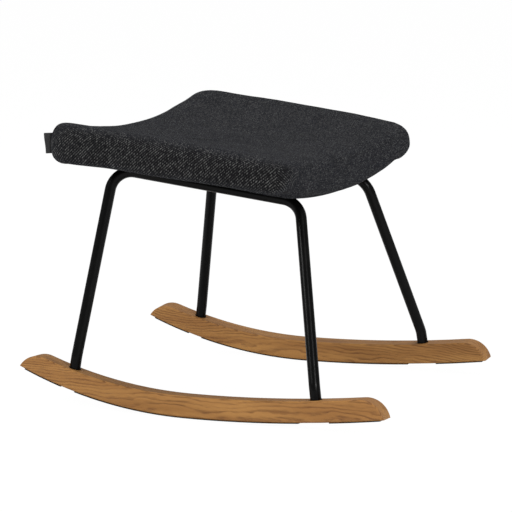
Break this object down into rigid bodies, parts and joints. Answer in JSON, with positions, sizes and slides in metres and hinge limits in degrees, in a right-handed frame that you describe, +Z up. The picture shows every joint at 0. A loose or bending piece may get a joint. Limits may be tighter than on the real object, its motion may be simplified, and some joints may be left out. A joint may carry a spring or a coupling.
{
  "type": "rocking footstool",
  "caption": "Low footstool that rocks on two curved wooden runners, with bent steel tube legs and a dished cushion covered in woven fabric.",
  "frame": {"origin": "on the floor, below the middle of the stool's outline, with the stool in its resting balance", "axes": "+X along the rockers towards the seat's low end, +Y from the near rocker to the far one, +Z up"},
  "size_m": [0.567, 0.5458, 0.4169],
  "materials": {
    "ash": "oiled",
    "grip_rubber": "matte strip",
    "black_tube": "matte powder coat",
    "charcoal_weave": "coarse weave over foam",
    "plywood": "raw",
    "black_cloth": "thin non-woven cloth",
    "label_tape": "woven tape",
    "zinc_steel": "zinc plated"
  },
  "bodies": {
    "root": {"rocker_near": "ash", "grip_strip_near_left": "grip_rubber", "grip_strip_near_middle": "grip_rubber", "grip_strip_near_right": "grip_rubber", "frame_tube_near": "black_tube", "leg_plug_near_left": "black_tube", "leg_plug_near_right": "black_tube", "rocker_far": "ash", "grip_strip_far_left": "grip_rubber", "grip_strip_far_middle": "grip_rubber", "grip_strip_far_right": "grip_rubber", "frame_tube_far": "black_tube", "leg_plug_far_left": "black_tube", "leg_plug_far_right": "black_tube", "seat_cushion": "charcoal_weave", "seat_shell": "plywood", "dust_cover": "black_cloth", "label_loop": "label_tape", "cross_strap_left": "black_tube", "cross_strap_right": "black_tube", "rocker_bolts": "zinc_steel", "rocker_washers": "zinc_steel", "seat_screws": "zinc_steel", "seat_t_nuts": "zinc_steel"}
  },
  "joints": []
}
